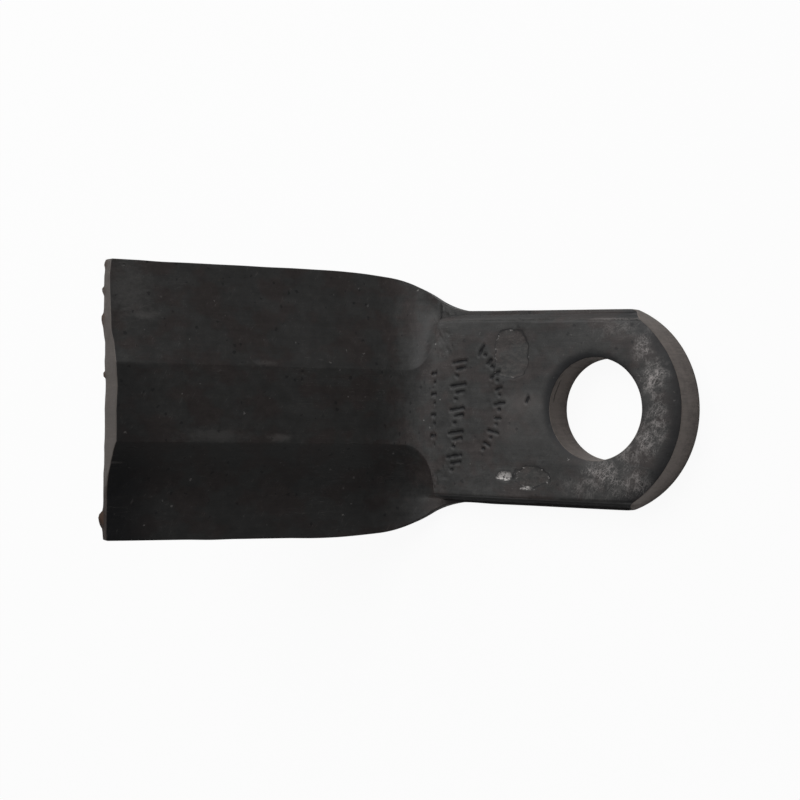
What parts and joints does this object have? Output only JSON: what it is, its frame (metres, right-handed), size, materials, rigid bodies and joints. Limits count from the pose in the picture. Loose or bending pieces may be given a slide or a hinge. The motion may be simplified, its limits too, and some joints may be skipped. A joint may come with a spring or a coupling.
{
  "type": "mulcher blade",
  "caption": "Forged mulcher blade: a flat shank with a round eye bore and a rounded end, bent into a wide paddle head with a raised middle and hollow flanks.",
  "frame": {"origin": "on the axis of the eye bore, in the back face of the shank", "axes": "+Z along the bore towards the hollow side of the bend, +X from the bore to the rounded end of the shank, so that the head lies on the -X side and climbs in +Z"},
  "size_m": [0.1272, 0.07, 0.0784],
  "materials": {
    "forged_steel": "dark forged and oiled scale, satin, with worn and bare cut edges"
  },
  "bodies": {
    "root": {"mulcher_blade": "forged_steel"}
  },
  "joints": []
}
